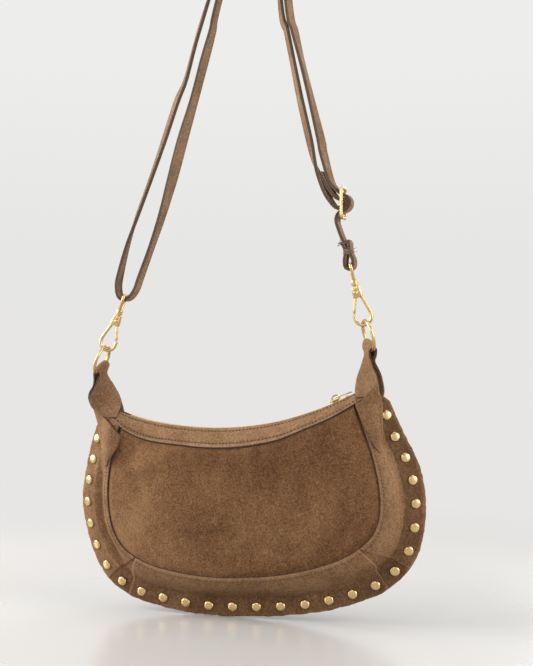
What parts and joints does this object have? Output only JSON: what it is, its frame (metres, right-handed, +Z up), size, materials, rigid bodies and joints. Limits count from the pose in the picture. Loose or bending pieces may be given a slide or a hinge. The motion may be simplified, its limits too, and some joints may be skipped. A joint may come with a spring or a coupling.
{
  "type": "shoulder bag",
  "caption": "Crescent-shaped suede shoulder bag with a studded flange, top zip, and a long strap clipped to rings with swivel hooks.",
  "frame": {"origin": "the point under the strap's highest bend, on the middle of its width", "axes": "+Z up, as the bag hangs; -Y towards the bag's front; +X to the right of someone looking at the front"},
  "size_m": [0.3426, 0.059, 0.72],
  "materials": {
    "suede": "napped, matt",
    "strap_suede": "napped, matt",
    "gold": "polished",
    "zip_tape": "woven",
    "lining": "woven"
  },
  "bodies": {
    "strap": {"strap": "strap_suede", "strap_buckle": "gold", "left_eye": "gold", "right_eye": "gold"},
    "bag": {"front_panel": "suede", "back_panel": "suede", "front_left_band": "suede", "front_left_insert": "suede", "front_bottom_band": "suede", "front_right_insert": "suede", "front_right_band": "suede", "back_left_band": "suede", "back_left_insert": "suede", "back_bottom_band": "suede", "back_right_insert": "suede", "back_right_band": "suede", "front_placket": "suede", "back_placket": "suede", "zip_chain_front": "zip_tape", "zip_chain_back": "zip_tape", "left_tab": "suede", "right_tab": "suede", "rivet_01": "gold", "rivet_02": "gold", "rivet_03": "gold", "rivet_04": "gold", "rivet_05": "gold", "rivet_06": "gold", "rivet_07": "gold", "rivet_08": "gold", "rivet_09": "gold", "rivet_10": "gold", "rivet_11": "gold", "rivet_12": "gold", "rivet_13": "gold", "rivet_14": "gold", "rivet_15": "gold", "rivet_16": "gold", "rivet_17": "gold", "rivet_18": "gold", "rivet_19": "gold", "rivet_20": "gold", "rivet_21": "gold", "rivet_22": "gold", "rivet_23": "gold", "rivet_24": "gold", "rivet_25": "gold", "rivet_26": "gold", "rivet_27": "gold", "lining": "lining"},
    "left_hook": {"left_hook": "gold", "left_gate_pin": "gold"},
    "right_hook": {"right_hook": "gold", "right_gate_pin": "gold"},
    "left_gate": {"left_gate": "gold"},
    "right_gate": {"right_gate": "gold"},
    "left_ring": {"left_ring": "gold"},
    "right_ring": {"right_ring": "gold"},
    "zip_slider": {"zip_slider": "gold"},
    "zip_pull": {"zip_pull": "gold"}
  },
  "joints": [
    {"name": "left_hook_swivel", "type": "hinge", "parent": "strap", "child": "left_hook", "pos_m": [-0.16204, 0, -0.45999], "axis": [0.3746, 0, 0.9272], "range_deg": [-25, 20]},
    {"name": "left_gate_hinge", "type": "hinge", "parent": "left_hook", "child": "left_gate", "pos_m": [-0.14931, 0, -0.4317], "axis": [0, 1, 0], "range_deg": [0, 16], "stiffness_Nm_per_rad": 0.05, "springref_deg": -17.19},
    {"name": "right_hook_swivel", "type": "hinge", "parent": "strap", "child": "right_hook", "pos_m": [0.09944, 0, -0.43573], "axis": [-0.2504, 0, 0.9681], "range_deg": [-14, 30]},
    {"name": "right_gate_hinge", "type": "hinge", "parent": "right_hook", "child": "right_gate", "pos_m": [0.09052, 0, -0.40602], "axis": [0, -1, 0], "range_deg": [0, 16], "stiffness_Nm_per_rad": 0.05, "springref_deg": -17.19},
    {"name": "bag_swing", "type": "hinge", "parent": "strap", "child": "bag", "pos_m": [-0.0313, 0, -0.44786], "axis": [0.9957, 0, 0.0924], "range_deg": [-30, 30]},
    {"name": "left_ring_hinge", "type": "hinge", "parent": "bag", "child": "left_ring", "pos_m": [-0.17098, 0, -0.48247], "axis": [0.0289, -0.9995, -0.0115], "range_deg": [-1.5, 1.5]},
    {"name": "right_ring_hinge", "type": "hinge", "parent": "bag", "child": "right_ring", "pos_m": [0.10664, 0, -0.45884], "axis": [0.4405, -0.8872, 0.1372], "range_deg": [-1.5, 1.5]},
    {"name": "zip_travel", "type": "hinge", "parent": "bag", "child": "zip_slider", "pos_m": [-0.05162, 0, -0.2288], "axis": [0, 1, 0], "range_deg": [0, 37]},
    {"name": "zip_pull_hinge", "type": "hinge", "parent": "zip_slider", "child": "zip_pull", "pos_m": [0.07274, 0, -0.50276], "axis": [0, -1, 0], "range_deg": [0, 150]}
  ]
}
